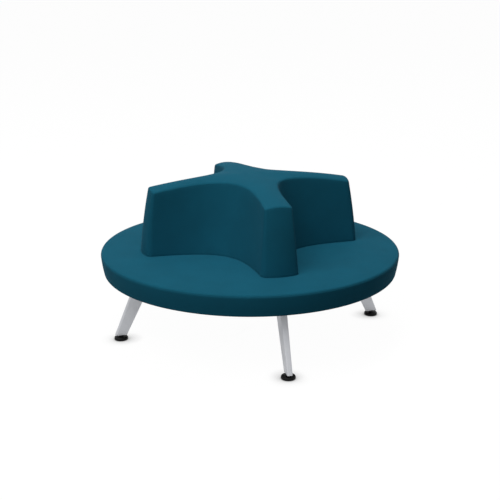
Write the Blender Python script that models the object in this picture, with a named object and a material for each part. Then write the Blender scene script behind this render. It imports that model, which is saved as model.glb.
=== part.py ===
# Round sofa: an upholstered disc on four splayed legs, with a cross-shaped back in its middle
# that four people lean against, one in each niche.
# Units are metres, +Z is up, the floor is z = 0 and the origin is under the sofa's centre.
# The back's four arms and the four legs lie on the X and Y axes, and the front is -Y.

import math

import bmesh
import bpy
from mathutils import Matrix, Vector

# Fits between pieces
GAP = 0.0003            # between pieces that touch
CUT_OVERRUN = 0.012     # how far a cutter runs past the face that it opens
MERGE = 0.00002         # points closer than this are one point

# Seat: a cover over foam on a round plywood board
SEAT_RADIUS = 0.780     # at its widest, just under the top edge
SEAT_HEIGHT = 0.4675    # top of the cover above the floor
SEAT_THICKNESS = 0.123  # from its top down to the lowest face of the cover
SEAT_CROWN = 0.015      # fall of the top from the back's arms to the edge's rounding
SEAT_TOP_EDGE = 0.016   # radius of the rounded top edge
SEAT_BOTTOM_EDGE = 0.010    # radius of the rounded bottom edge
SEAT_TAPER = 0.0105      # how much the side draws in towards the bottom
SEAT_BELLY = 0.0015     # how much the side swells between its edges
SEAT_HEM = 0.050        # width of the cover that is turned under and stapled
FABRIC = 0.002          # thickness of the upholstery cloth
BOARD_THICKNESS = 0.024
BOARD_SETBACK = 0.020   # from the side's lower edge to the board's rim
DUST_CLOTH = 0.001      # thickness of the cloth under the seat
DUST_LAP = 0.026        # how far that cloth laps over the cover's hem
DUST_STEP = 0.008       # run of its step down over the hem

# Back: four arms between four hollow niches, wider at the seat than at the top
BACK_RISE = 0.3735       # top of the back's middle above the seat
BACK_FALL = 0.0494      # fall of the top from its middle to the arms' ends
SEAT_DEPTH = 0.514      # from the seat's rim in to a niche's deepest point, at the seat
NICHE_LEAN = 0.075      # how much further in that point lies at the top edge
ARM_SETBACK = 0.198     # from the seat's rim in to the middle of an arm's end, at the seat
ARM_LEAN = 0.050        # how much further in it lies at the top edge
ARM_HALF_FOOT = 0.100   # half an arm's width at its end, at the seat
ARM_HALF_TOP = 0.070    # the same at the top edge
ARM_BULGE_FOOT = 0.021  # how much an arm's end swells across its width, at the seat
ARM_BULGE_TOP = 0.012   # the same at the top edge
ARM_BELLY = 0.004       # how much an arm's end swells between the seat and the top
BACK_CORNER = 0.024     # length of the rounding at an arm's upright corners
BACK_TOP_EDGE = 0.014   # radius of the rounded top edge
BACK_BOTTOM_EDGE = 0.006    # radius of the rounded bottom edge
BACK_HEM = 0.042        # width of the back's cover that is turned under
NICHE_FLARE_FOOT_SHARE = 1.246  # slope of a niche's sides away from its middle line
NICHE_FLARE_TOP_SHARE = 1.426
NICHE_MIDDLE_SHARE = 0.6    # how closely a niche's middle is divided, of even steps

# Frame inside the back: two crossed uprights tenoned through a base plate
BASE_THICKNESS = 0.015
BASE_SETBACK = 0.020    # from the cover's face to the base plate's edge
UPRIGHT_THICKNESS = 0.024
END_FOAM = 0.045        # foam in front of an upright's end
TOP_FOAM = 0.040        # foam over an upright's top edge
TENON_INNER = 0.120     # from the centre to a tenon's inner side
TENON_SETBACK = 0.122   # from the arm's end in to its outer side

# Bolt and barrel nut that hold each tenon down on the seat's board
BOLT_RADIUS = 0.004
BOLT_HEAD_RADIUS = 0.0085
BOLT_HEAD_HEIGHT = 0.003
BOLT_PAST_NUT = 0.012   # how far a bolt runs past its nut's axis
BOLT_CLEARANCE = 0.0005
NUT_RADIUS = 0.0075
NUT_SHORTFALL = 0.001   # how far a nut's ends lie under the upright's faces
NUT_HEIGHT = 0.040      # its axis above the seat's board

# Leg: a tapered cast leg with a flange, splayed outwards
LEG_FOOT_SETBACK = 0.0789   # from the seat's rim in to the middle of the leg's sole
LEG_TOP_SETBACK = 0.2224    # the same where it meets its flange
LEG_FOOT_LENGTH = 0.0604    # level section at the sole, along the radius
LEG_FOOT_WIDTH = 0.0280     # the same, across
LEG_TOP_LENGTH = 0.0876     # level section under the flange, along the radius
LEG_TOP_WIDTH = 0.0362      # the same, across
LEG_CORNER = 0.007      # radius of its four long edges
LEG_SOLE_EDGE = 0.004   # radius of the rounding round the sole
LEG_FILLET = 0.012      # rounding between the leg and its flange
FLANGE_SETBACK = 0.235      # from the seat's rim in to the flange's middle
FLANGE_LENGTH = 0.164
FLANGE_WIDTH = 0.104
FLANGE_THICKNESS = 0.006
FLANGE_CORNER = 0.016
SCREW_EDGE = 0.015      # from the flange's edges to a screw's axis
SCREW_RADIUS = 0.0025
SCREW_HEAD_RADIUS = 0.0050
SCREW_HEAD_HEIGHT = 0.0028
SCREW_LENGTH = 0.024
SCREW_TIP = 0.004       # length of its point

# Glide: a black foot on a threaded stem that screws into the leg's sole
GLIDE_SETBACK = 0.080   # from the seat's rim in to the glide's axis
GLIDE_RADIUS = 0.0360
GLIDE_HEIGHT = 0.0160   # of its disc
HUB_RADIUS = 0.0120     # of the hub between the disc and the leg's sole
HUB_HEIGHT = 0.0072
GLIDE_SOLE_SHARE = 0.88     # radius of the face on the floor, of the glide's radius
GLIDE_CROWN_SHARE = 0.85    # radius of the disc's flat top
GLIDE_WAIST_SHARE = 0.38    # height of its widest place, of its height
GLIDE_ROUND_SHARE = 0.6     # how full its two slopes are
GLIDE_FLOOR = 0.006     # plastic left under the stem
STEM_RADIUS = 0.005
STEM_LENGTH = 0.058
STEM_CHAMFER = 0.001
STEM_END_ROOM = 0.002   # room past the stem's end in the leg

# How finely the round forms are divided
SEAT_STEPS = 56
CROWN_SHARES = (0.5,)   # rings where the seat's top falls towards its edge
OUTER_STEPS = (4, 2)    # along the cover's upper and lower edge roundings
INNER_STEPS = (2, 1)    # the same on the cover's inner face and on the foam
CORNER_STEPS = 3        # along a leg's and the flange's corners
ARM_CORNER_STEPS = 2
NICHE_STEPS = 8
WALL_SHARES = (0.5,)    # rows of the back's walls between its edges
OUTER_CAP_SHARES = (0.5, 1.0)    # rings of the back's top, from its rim to the middle lines
INNER_CAP_SHARES = (1.0,)
UPRIGHT_STEPS = 8
SOLE_STEPS = 2
FILLET_STEPS = 3
BOLT_STEPS = 10
NUT_STEPS = 12
SCREW_STEPS = 8
GLIDE_STEPS = 24
SHARP_DEGREES = 35      # edges with a wider turn than this stay sharp

# The four directions of the arms and legs, in degrees round from +X
SIDES = (("front", -90), ("right", 0), ("rear", 90), ("left", 180))

# Finishes: colour in sRGB, roughness, metallic
FINISHES = {
    "upholstery": ((0.07, 0.30, 0.38), 0.9, 0.0),
    "foam": ((0.86, 0.82, 0.70), 0.95, 0.0),
    "plywood": ((0.74, 0.58, 0.40), 0.6, 0.0),
    "dust_cloth": ((0.09, 0.09, 0.10), 0.95, 0.0),
    "cast_aluminium": ((0.74, 0.75, 0.77), 0.35, 1.0),
    "zinc": ((0.62, 0.63, 0.66), 0.35, 1.0),
    "black_plastic": ((0.05, 0.05, 0.055), 0.45, 0.0),
}

# Places and heights worked out from the sizes above
SEAT_UNDERSIDE = SEAT_HEIGHT - SEAT_THICKNESS
BACK_HEIGHT = SEAT_HEIGHT + BACK_RISE
NICHE_REACH_FOOT = SEAT_RADIUS - SEAT_DEPTH
NICHE_REACH_TOP = NICHE_REACH_FOOT - NICHE_LEAN
ARM_END_FOOT = SEAT_RADIUS - ARM_SETBACK
ARM_END_TOP = ARM_END_FOOT - ARM_LEAN
TENON_OUTER = ARM_END_FOOT - TENON_SETBACK
LEG_FOOT_PLACE = SEAT_RADIUS - LEG_FOOT_SETBACK
LEG_TOP_PLACE = SEAT_RADIUS - LEG_TOP_SETBACK
FLANGE_PLACE = SEAT_RADIUS - FLANGE_SETBACK
GLIDE_PLACE = SEAT_RADIUS - GLIDE_SETBACK
BOARD_BOTTOM = SEAT_UNDERSIDE + FABRIC + GAP
BOARD_TOP = BOARD_BOTTOM + BOARD_THICKNESS
DUST_TOP = BOARD_BOTTOM - GAP
FLANGE_TOP = DUST_TOP - DUST_CLOTH - GAP
FLANGE_BOTTOM = FLANGE_TOP - FLANGE_THICKNESS
GLIDE_TOP = GLIDE_HEIGHT + HUB_HEIGHT
SOLE_HEIGHT = GLIDE_TOP + GAP
BACK_FOOT = SEAT_HEIGHT + GAP
BASE_BOTTOM = BACK_FOOT + FABRIC + GAP
BASE_TOP = BASE_BOTTOM + BASE_THICKNESS
UPRIGHT_FOOT = BASE_TOP + GAP
TENON_FOOT = BOARD_TOP + GAP
BOLT_PLACE = (TENON_INNER + TENON_OUTER) / 2
NUT_AXIS = TENON_FOOT + NUT_HEIGHT


# Small helpers

def between(first, last, share):
    return first + (last - first) * share


def linear(channel):
    if channel <= 0.04045:
        return channel / 12.92
    return ((channel + 0.055) / 1.055) ** 2.4


def finish(name, kind):
    colour, roughness, metallic = FINISHES[kind]
    material = bpy.data.materials.new(name + "_" + kind)
    material.use_nodes = True
    shader = material.node_tree.nodes["Principled BSDF"]
    rgba = [linear(channel) for channel in colour] + [1.0]
    shader.inputs["Base Color"].default_value = rgba
    shader.inputs["Roughness"].default_value = roughness
    shader.inputs["Metallic"].default_value = metallic
    material.diffuse_color = rgba
    return material


def to_mesh(bm, name):
    bmesh.ops.remove_doubles(bm, verts=bm.verts, dist=MERGE)
    bmesh.ops.recalc_face_normals(bm, faces=bm.faces)
    mesh = bpy.data.meshes.new(name)
    bm.to_mesh(mesh)
    bm.free()
    mesh.shade_smooth()
    mesh.set_sharp_from_angle(angle=math.radians(SHARP_DEGREES))
    return mesh


def place(name, mesh, kind, location=(0, 0, 0), turn=0):
    thing = bpy.data.objects.new(name, mesh)
    thing.location = location
    thing.rotation_euler = (0, 0, math.radians(turn))
    bpy.context.scene.collection.objects.link(thing)
    slots = thing.material_slots
    if not slots:
        mesh.materials.append(None)
    thing.material_slots[0].link = "OBJECT"
    thing.material_slots[0].material = finish(name, kind)
    return thing


def cutter(name, mesh):
    thing = bpy.data.objects.new(name, mesh)
    thing.hide_render = True
    thing.display_type = "WIRE"
    bpy.context.scene.collection.objects.link(thing)
    return thing


def cut(thing, tool):
    modifier = thing.modifiers.new("cut_" + tool.name, "BOOLEAN")
    modifier.operation = "DIFFERENCE"
    modifier.solver = "EXACT"
    modifier.object = tool


def polar(radius, degrees, height):
    angle = math.radians(degrees)
    return Vector((radius * math.cos(angle), radius * math.sin(angle), height))


def arc(centre, radius, start, end, steps):
    # Points of a turned profile's rounding, from one angle in degrees to another.
    points = []
    for step in range(steps + 1):
        angle = math.radians(between(start, end, step / steps))
        points.append((centre[0] + radius * math.cos(angle), centre[1] + radius * math.sin(angle)))
    return points


def turned(points, steps, places=((0, 0),)):
    # A profile of radius and height points, from axis to axis, spun into a closed solid round an
    # upright line through each of the places.
    bm = bmesh.new()
    for x, y in places:
        verts = [bm.verts.new((x + radius, y, height)) for radius, height in points]
        edges = [bm.edges.new(pair) for pair in zip(verts, verts[1:])]
        bmesh.ops.spin(bm, geom=verts + edges, cent=(x, y, 0), axis=(0, 0, 1),
                       angle=math.tau, steps=steps, use_merge=True, use_duplicate=False)
    return bm


def turn_points(bm, verts, degrees):
    matrix = Matrix.Rotation(math.radians(degrees), 3, "Z")
    bmesh.ops.rotate(bm, verts=verts, cent=(0, 0, 0), matrix=matrix)


def skin(bm, rings):
    # Faces between neighbouring rings of points, each ring closed on itself.
    rows = [[bm.verts.new(point) for point in ring] for ring in rings]
    for lower, upper in zip(rows, rows[1:]):
        count = len(lower)
        for index in range(count):
            after = (index + 1) % count
            bm.faces.new((lower[index], lower[after], upper[after], upper[index]))
    return rows


def extruded(bm, points, way):
    # A flat outline pulled out into a solid.
    face = bm.faces.new([bm.verts.new(point) for point in points])
    grown = bmesh.ops.extrude_face_region(bm, geom=[face])
    far = [item for item in grown["geom"] if isinstance(item, bmesh.types.BMVert)]
    bmesh.ops.translate(bm, verts=far, vec=way)
    return list(face.verts) + far


# Seat

def seat_side(inset, steps):
    # The seat's profile, from the middle of its top round to its underside, set in by inset.
    upper_steps, lower_steps = steps
    top = SEAT_HEIGHT - inset
    edge_place = SEAT_RADIUS - SEAT_TOP_EDGE
    slope = math.atan2(2 * SEAT_CROWN, edge_place - ARM_END_FOOT)
    crown_end = edge_place + SEAT_TOP_EDGE * math.sin(slope)
    edge_height = SEAT_HEIGHT - SEAT_CROWN - SEAT_TOP_EDGE * math.cos(slope)
    points = [(0, top), (ARM_END_FOOT, top)]
    for share in CROWN_SHARES:
        points.append((between(ARM_END_FOOT, crown_end, share), top - SEAT_CROWN * share ** 2))
    start = 90 - math.degrees(slope)
    points += arc((edge_place, edge_height), SEAT_TOP_EDGE - inset, start, 0, upper_steps)
    lower_place = SEAT_RADIUS - SEAT_TAPER - SEAT_BOTTOM_EDGE
    lower_height = SEAT_UNDERSIDE + SEAT_BOTTOM_EDGE
    side_place = SEAT_RADIUS - SEAT_TAPER / 2 + SEAT_BELLY - inset
    points.append((side_place, (edge_height + lower_height) / 2))
    points += arc((lower_place, lower_height), SEAT_BOTTOM_EDGE - inset, 0, -90, lower_steps)
    return points


def board_radius():
    return SEAT_RADIUS - SEAT_TAPER - BOARD_SETBACK


def hem_radius():
    return SEAT_RADIUS - SEAT_TAPER - SEAT_HEM


def seat_cover_mesh():
    outer = seat_side(0, OUTER_STEPS) + [(hem_radius(), SEAT_UNDERSIDE)]
    inner = seat_side(FABRIC, INNER_STEPS) + [(hem_radius(), SEAT_UNDERSIDE + FABRIC)]
    return to_mesh(turned(outer + inner[::-1], SEAT_STEPS), "seat_cover")


def seat_foam_mesh():
    room = board_radius() + GAP
    points = seat_side(FABRIC + GAP, INNER_STEPS)
    points += [(room, BOARD_BOTTOM), (room, BOARD_TOP + GAP), (0, BOARD_TOP + GAP)]
    return to_mesh(turned(points, SEAT_STEPS), "seat_foam")


def seat_board_mesh():
    rim = board_radius()
    points = [(0, BOARD_BOTTOM), (rim, BOARD_BOTTOM), (rim, BOARD_TOP), (0, BOARD_TOP)]
    return to_mesh(turned(points, SEAT_STEPS), "seat_board")


def dust_cover_mesh():
    # Flat against the board, then stepped down to lap over the seat cover's hem.
    high = hem_radius() - DUST_STEP
    low = hem_radius() - GAP
    rim = hem_radius() + DUST_LAP
    top = SEAT_UNDERSIDE - GAP
    points = [(0, DUST_TOP), (high, DUST_TOP), (low, top), (rim, top), (rim, top - DUST_CLOTH),
              (low - DUST_CLOTH / 2, top - DUST_CLOTH), (high - DUST_CLOTH / 2, DUST_TOP - DUST_CLOTH),
              (0, DUST_TOP - DUST_CLOTH)]
    return to_mesh(turned(points, SEAT_STEPS), "dust_cover")


# Back: its level outline at any height, and the surfaces built on it

def crown(x, y):
    return BACK_HEIGHT - BACK_FALL * (x * x + y * y) / ARM_END_TOP ** 2


def arm_end(share):
    # Half length, half width and swell of an arm's end, from the seat (0) to the top (1).
    belly = 4 * ARM_BELLY * share * (1 - share)
    end = between(ARM_END_FOOT, ARM_END_TOP, share) + belly
    half = between(ARM_HALF_FOOT, ARM_HALF_TOP, share)
    return end, half, between(ARM_BULGE_FOOT, ARM_BULGE_TOP, share)


def niche(share):
    # A niche is a hyperbola about the line midway between two arms. Along that line it lies at
    # middle + sqrt(depth^2 + (flare * w)^2), where w is the distance across. It passes through
    # its reach on the line, and through the corner of the arms' ends.
    end, half, bulge = arm_end(share)
    reach = between(NICHE_REACH_FOOT, NICHE_REACH_TOP, share)
    flare = between(NICHE_FLARE_FOOT_SHARE, NICHE_FLARE_TOP_SHARE, share)
    corner_along = (end - bulge + half) / math.sqrt(2)
    corner_across = (end - bulge - half) / math.sqrt(2)
    rise = corner_along - reach
    depth = ((flare * corner_across) ** 2 - rise ** 2) / (2 * rise)
    return reach - depth, depth, flare, corner_across


def niche_point(curve, across):
    # A point of the niche between +X and +Y, at a distance across its middle line.
    middle, depth, flare, corner_across = curve
    along = middle + math.sqrt(depth ** 2 + (flare * across) ** 2)
    return Vector(((along - across) / math.sqrt(2), (along + across) / math.sqrt(2)))


def niche_direction(curve, across):
    middle, depth, flare, corner_across = curve
    slope = flare ** 2 * across / math.sqrt(depth ** 2 + (flare * across) ** 2)
    return Vector(((slope - 1) / math.sqrt(2), (slope + 1) / math.sqrt(2))).normalized()


def meeting(first, first_way, second, second_way):
    # Where two level lines cross, each given by a point and a direction.
    turn = first_way.x * second_way.y - first_way.y * second_way.x
    apart = second - first
    return first + first_way * ((apart.x * second_way.y - apart.y * second_way.x) / turn)


def rounding(start, start_way, end, end_way, steps):
    # A corner's points, level with both its sides, as a curve drawn towards the sides' meeting.
    corner = meeting(start, start_way, end, end_way)
    opening = (1 - start_way.dot(end_way)) / 2
    pull = math.sqrt(max(1 - opening, 0))
    points = []
    for step in range(steps + 1):
        late = step / steps
        early = 1 - late
        weights = (early ** 2, 2 * early * late * pull, late ** 2)
        total = sum(weights)
        points.append((start * weights[0] + corner * weights[1] + end * weights[2]) / total)
    return points


def quarter_outline(share):
    # From the middle of the +X arm's end round to just before the middle of the +Y arm's end.
    end, half, bulge = arm_end(share)
    curve = niche(share)
    corner_across = curve[3]
    face_share = 1 - BACK_CORNER / half
    face_start = Vector((end - bulge * face_share ** 2, half * face_share))
    face_way = Vector((-2 * bulge * face_share / half, 1)).normalized()
    side_start = -corner_across + BACK_CORNER / math.sqrt(2)
    side_way = niche_direction(curve, side_start)
    points = [Vector((end, 0)), Vector((end - bulge * (face_share / 2) ** 2, half * face_share / 2))]
    side_point = niche_point(curve, side_start)
    corner = rounding(face_start, face_way, side_point, side_way, ARM_CORNER_STEPS)
    points += corner
    for step in range(1, NICHE_STEPS):
        place_share = 2 * step / NICHE_STEPS - 1
        eased = between(place_share ** 3, place_share, NICHE_MIDDLE_SHARE)
        points.append(niche_point(curve, -side_start * eased))
    points += [Vector((point.y, point.x)) for point in reversed(corner)]
    points.append(Vector((points[1].y, points[1].x)))
    return points


def outline(share):
    # The back's whole level outline, anticlockwise from the middle of the +X arm's end.
    points = []
    quarter = quarter_outline(share)
    for cosine, sine in ((1, 0), (0, 1), (-1, 0), (0, -1)):
        points += [Vector((p.x * cosine - p.y * sine, p.x * sine + p.y * cosine)) for p in quarter]
    return points


def set_in(points, inset):
    # The outline moved inwards, square to itself.
    count = len(points)
    moved = []
    for index, point in enumerate(points):
        way = (points[(index + 1) % count] - points[index - 1]).normalized()
        moved.append(point + Vector((-way.y, way.x)) * inset)
    return moved


def spine(point):
    # The nearest place on the arms' middle lines, where the top's two halves meet.
    reach = max(abs(point.x), abs(point.y)) - min(abs(point.x), abs(point.y))
    reach = min(reach, ARM_END_TOP - ARM_HALF_TOP)
    if abs(point.x) > abs(point.y):
        return Vector((math.copysign(reach, point.x), 0))
    return Vector((0, math.copysign(reach, point.y)))


def back_row(share, inset, shell):
    # A level row of the back's surface. Shell is how far the whole surface lies under the
    # cover's face, and inset is what the row is set in by.
    row = []
    for point in set_in(outline(share), inset):
        height = between(BACK_FOOT + shell, crown(point.x, point.y) - shell, share)
        row.append((point.x, point.y, height))
    return row


def back_rows(shell, steps, cap_shares):
    # The back's surface from its foot, up the walls and over the top to the middle lines.
    top_steps, foot_steps = steps
    wall = BACK_HEIGHT - BACK_FOOT
    foot_edge = BACK_BOTTOM_EDGE - shell
    top_edge = min(BACK_TOP_EDGE, BACK_CORNER - FABRIC - GAP) - shell
    rows = []
    for step in range(foot_steps + 1):
        angle = math.pi / 2 * step / foot_steps
        share = foot_edge * (1 - math.cos(angle)) / wall
        rows.append(back_row(share, shell + foot_edge * (1 - math.sin(angle)), shell))
    for share in WALL_SHARES:
        rows.append(back_row(share, shell, shell))
    for step in range(top_steps + 1):
        angle = math.pi / 2 * step / top_steps
        share = 1 - top_edge * (1 - math.sin(angle)) / wall
        rows.append(back_row(share, shell + top_edge * (1 - math.cos(angle)), shell))
    rim = [Vector(point[:2]) for point in rows[-1]]
    for share in cap_shares:
        inner = [point.lerp(spine(point), share) for point in rim]
        rows.append([(point.x, point.y, crown(point.x, point.y) - shell) for point in inner])
    return rows


def level_outline(inset, height):
    return [(point.x, point.y, height) for point in set_in(outline(0), inset)]


def back_cover_mesh():
    # Cloth over the foam, turned under at the foot and open between its hems.
    outer = [level_outline(BACK_HEM, BACK_FOOT)]
    outer += back_rows(0, OUTER_STEPS, OUTER_CAP_SHARES)
    inner = [level_outline(BACK_HEM, BACK_FOOT + FABRIC)]
    inner += back_rows(FABRIC, INNER_STEPS, INNER_CAP_SHARES)
    bm = bmesh.new()
    skin(bm, outer[::-1] + inner)
    return to_mesh(bm, "back_cover")


def back_foam_mesh():
    bm = bmesh.new()
    rows = skin(bm, back_rows(FABRIC + GAP, INNER_STEPS, INNER_CAP_SHARES))
    bm.faces.new(rows[0][::-1])
    return to_mesh(bm, "back_foam")


def base_plate_mesh(name, inset, low, high):
    bm = bmesh.new()
    extruded(bm, level_outline(inset, low), (0, 0, high - low))
    return to_mesh(bm, name)


def upright_top(half_length, grow):
    # The upright's top edge follows the crown, from one end to the other.
    points = []
    for step in range(UPRIGHT_STEPS + 1):
        along = between(half_length, -half_length, step / UPRIGHT_STEPS)
        points.append((along, crown(along, 0) - TOP_FOAM + grow))
    return points


def upright_middle():
    return (UPRIGHT_FOOT + crown(0, 0) - TOP_FOAM) / 2


def upright_mesh(name, notch_on_top):
    # A board on edge with two tenons, notched half way to cross the other one.
    foot = ARM_END_FOOT - END_FOAM
    slot = UPRIGHT_THICKNESS / 2 + GAP
    top = upright_top(ARM_END_TOP - END_FOAM, 0)
    if notch_on_top:
        middle = upright_middle() - GAP / 2
        rim = crown(slot, 0) - TOP_FOAM
        notch = [(slot, rim), (slot, middle), (-slot, middle), (-slot, rim)]
        half = UPRIGHT_STEPS // 2
        top = top[:half] + notch + top[half + 1:]
        foot_notch = []
    else:
        middle = upright_middle() + GAP / 2
        foot_notch = [(-slot, UPRIGHT_FOOT), (-slot, middle), (slot, middle), (slot, UPRIGHT_FOOT)]
    left = [(-foot, UPRIGHT_FOOT), (-TENON_OUTER, UPRIGHT_FOOT), (-TENON_OUTER, TENON_FOOT),
            (-TENON_INNER, TENON_FOOT), (-TENON_INNER, UPRIGHT_FOOT)]
    right = [(-along, height) for along, height in reversed(left)]
    points = [(along, -UPRIGHT_THICKNESS / 2, height) for along, height in top + left + foot_notch + right]
    bm = bmesh.new()
    extruded(bm, points, (0, UPRIGHT_THICKNESS, 0))
    return to_mesh(bm, name)


def upright_room_mesh(turn, over):
    # What the foam leaves for an upright, with its own room over the top edge.
    bm = bmesh.new()
    foot = ARM_END_FOOT - END_FOAM + GAP
    slot = UPRIGHT_THICKNESS / 2 + GAP
    low = BACK_FOOT - CUT_OVERRUN
    sides = [(-foot, UPRIGHT_FOOT), (-foot, low), (foot, low), (foot, UPRIGHT_FOOT)]
    face = upright_top(ARM_END_TOP - END_FOAM + GAP, over) + sides
    points = [(along, -slot, height) for along, height in face]
    turn_points(bm, extruded(bm, points, (0, 2 * slot, 0)), turn)
    return to_mesh(bm, "upright_room")


def tenon_slots_mesh():
    # Where the tenons pass through the base plate, the seat's cover and its foam.
    bm = bmesh.new()
    slot = UPRIGHT_THICKNESS / 2 + GAP
    inner = TENON_INNER - GAP
    outer = TENON_OUTER + GAP
    low = BOARD_TOP - CUT_OVERRUN
    high = BASE_TOP + CUT_OVERRUN
    for side, degrees in SIDES:
        corners = [(inner, -slot, low), (outer, -slot, low), (outer, slot, low), (inner, slot, low)]
        turn_points(bm, extruded(bm, corners, (0, 0, high - low)), degrees)
    return to_mesh(bm, "tenon_slots")


# Bolts and barrel nuts

def bolt_places():
    return [polar(BOLT_PLACE, degrees, 0).to_2d() for side, degrees in SIDES]


def bolt_mesh():
    low = BOARD_BOTTOM + GAP
    high = NUT_AXIS + BOLT_PAST_NUT
    shoulder = low + BOLT_HEAD_HEIGHT
    points = [(0, low), (BOLT_HEAD_RADIUS, low), (BOLT_HEAD_RADIUS, shoulder),
              (BOLT_RADIUS, shoulder), (BOLT_RADIUS, high), (0, high)]
    return to_mesh(turned(points, BOLT_STEPS), "back_bolt")


def bolt_holes_mesh():
    low = BOARD_BOTTOM - CUT_OVERRUN
    high = NUT_AXIS + BOLT_PAST_NUT + BOLT_CLEARANCE
    shoulder = BOARD_BOTTOM + BOLT_HEAD_HEIGHT + 2 * GAP
    head = BOLT_HEAD_RADIUS + BOLT_CLEARANCE
    shank = BOLT_RADIUS + BOLT_CLEARANCE
    points = [(0, low), (head, low), (head, shoulder), (shank, shoulder), (shank, high), (0, high)]
    return to_mesh(turned(points, BOLT_STEPS, bolt_places()), "bolt_holes")


def thread_holes_mesh():
    low = NUT_AXIS - NUT_RADIUS - CUT_OVERRUN
    high = NUT_AXIS + NUT_RADIUS + CUT_OVERRUN
    radius = BOLT_RADIUS + GAP
    points = [(0, low), (radius, low), (radius, high), (0, high)]
    return to_mesh(turned(points, BOLT_STEPS, bolt_places()), "thread_holes")


def lying_cylinder(radius, half_length):
    bm = turned([(0, -half_length), (radius, -half_length), (radius, half_length), (0, half_length)],
                NUT_STEPS)
    bmesh.ops.rotate(bm, verts=bm.verts, cent=(0, 0, 0), matrix=Matrix.Rotation(math.pi / 2, 3, "X"))
    return bm


def nut_holes():
    mesh = to_mesh(lying_cylinder(NUT_RADIUS + GAP, UPRIGHT_THICKNESS / 2 + CUT_OVERRUN), "nut_holes")
    holes = []
    for side, degrees in SIDES:
        hole = cutter("nut_hole_" + side, mesh)
        hole.location = polar(BOLT_PLACE, degrees, NUT_AXIS)
        hole.rotation_euler = (0, 0, math.radians(degrees))
        holes.append(hole)
    return holes


# Legs

def section(middle, length, width, corner, height):
    # A level rounded rectangle, longer along the sofa's radius.
    points = []
    for side_x, side_y, start in ((1, 1, 0), (-1, 1, 90), (-1, -1, 180), (1, -1, 270)):
        centre = (middle + side_x * (length / 2 - corner), side_y * (width / 2 - corner))
        rounded = arc(centre, corner, start, start + 90, CORNER_STEPS)
        points += [(x, y, height) for x, y in rounded]
    return points


def leg_section(height, grow):
    share = (height - SOLE_HEIGHT) / (FLANGE_BOTTOM - SOLE_HEIGHT)
    middle = between(LEG_FOOT_PLACE, LEG_TOP_PLACE, share)
    length = between(LEG_FOOT_LENGTH, LEG_TOP_LENGTH, share) + 2 * grow
    width = between(LEG_FOOT_WIDTH, LEG_TOP_WIDTH, share) + 2 * grow
    return section(middle, length, width, LEG_CORNER + grow, height)


def leg_mesh():
    rings = []
    for step in range(SOLE_STEPS + 1):
        angle = math.pi / 2 * step / SOLE_STEPS
        height = SOLE_HEIGHT + LEG_SOLE_EDGE * (1 - math.cos(angle))
        rings.append(leg_section(height, -LEG_SOLE_EDGE * (1 - math.sin(angle))))
    for step in range(FILLET_STEPS + 1):
        angle = math.pi / 2 * step / FILLET_STEPS
        height = FLANGE_BOTTOM - LEG_FILLET * (1 - math.sin(angle))
        rings.append(leg_section(height, LEG_FILLET * (1 - math.cos(angle))))
    for height in (FLANGE_BOTTOM, FLANGE_TOP):
        rings.append(section(FLANGE_PLACE, FLANGE_LENGTH, FLANGE_WIDTH, FLANGE_CORNER, height))
    bm = bmesh.new()
    rows = skin(bm, rings)
    bm.faces.new(rows[0][::-1])
    bm.faces.new(rows[-1])
    return to_mesh(bm, "leg")


def screw_places():
    # In the leg's own frame, one near each corner of the flange.
    along = FLANGE_LENGTH / 2 - SCREW_EDGE
    across = FLANGE_WIDTH / 2 - SCREW_EDGE
    return [(FLANGE_PLACE + side_x * along, side_y * across) for side_x in (1, -1) for side_y in (1, -1)]


def screw_profile(grow):
    head = FLANGE_BOTTOM + GAP
    neck = head + SCREW_HEAD_HEIGHT - grow
    end = head + SCREW_LENGTH + grow
    return [(SCREW_HEAD_RADIUS + grow, head), (SCREW_RADIUS + grow, neck),
            (SCREW_RADIUS + grow, end - SCREW_TIP), (0, end)]


def screw_mesh():
    points = [(0, FLANGE_BOTTOM + GAP)] + screw_profile(0)
    return to_mesh(turned(points, SCREW_STEPS), "leg_screw")


def screw_holes_mesh():
    low = FLANGE_BOTTOM - CUT_OVERRUN
    points = [(0, low), (SCREW_HEAD_RADIUS + GAP, low)] + screw_profile(GAP)
    bm = bmesh.new()
    for side, degrees in SIDES:
        part = turned(points, SCREW_STEPS, screw_places())
        turn_points(part, part.verts, degrees)
        mesh = bpy.data.meshes.new("screw_holes_" + side)
        part.to_mesh(mesh)
        part.free()
        bm.from_mesh(mesh)
        bpy.data.meshes.remove(mesh)
    return to_mesh(bm, "screw_holes")


def stem_top():
    return GLIDE_FLOOR + GAP + STEM_LENGTH


def stem_bores_mesh():
    low = SOLE_HEIGHT - CUT_OVERRUN
    high = stem_top() + STEM_END_ROOM
    radius = STEM_RADIUS + GAP
    places = [polar(GLIDE_PLACE, degrees, 0).to_2d() for side, degrees in SIDES]
    points = [(0, low), (radius, low), (radius, high), (0, high)]
    return to_mesh(turned(points, BOLT_STEPS, places), "stem_bores")


# Glides

def glide_foot_mesh():
    # A low disc, widest part of the way up, with a hub and a blind hole for its stem.
    sole = GLIDE_RADIUS * GLIDE_SOLE_SHARE
    top = GLIDE_RADIUS * GLIDE_CROWN_SHARE
    waist = GLIDE_HEIGHT * GLIDE_WAIST_SHARE
    hole = STEM_RADIUS + GAP
    lower = (between(sole, GLIDE_RADIUS, GLIDE_ROUND_SHARE), between(0, waist, 1 - GLIDE_ROUND_SHARE))
    upper = (between(top, GLIDE_RADIUS, GLIDE_ROUND_SHARE),
             between(GLIDE_HEIGHT, waist, 1 - GLIDE_ROUND_SHARE))
    points = [(0, 0), (sole, 0), lower, (GLIDE_RADIUS, waist), upper, (top, GLIDE_HEIGHT),
              (HUB_RADIUS, GLIDE_HEIGHT), (HUB_RADIUS, GLIDE_TOP), (hole, GLIDE_TOP),
              (hole, GLIDE_FLOOR), (0, GLIDE_FLOOR)]
    return to_mesh(turned(points, GLIDE_STEPS), "glide_foot")


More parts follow.
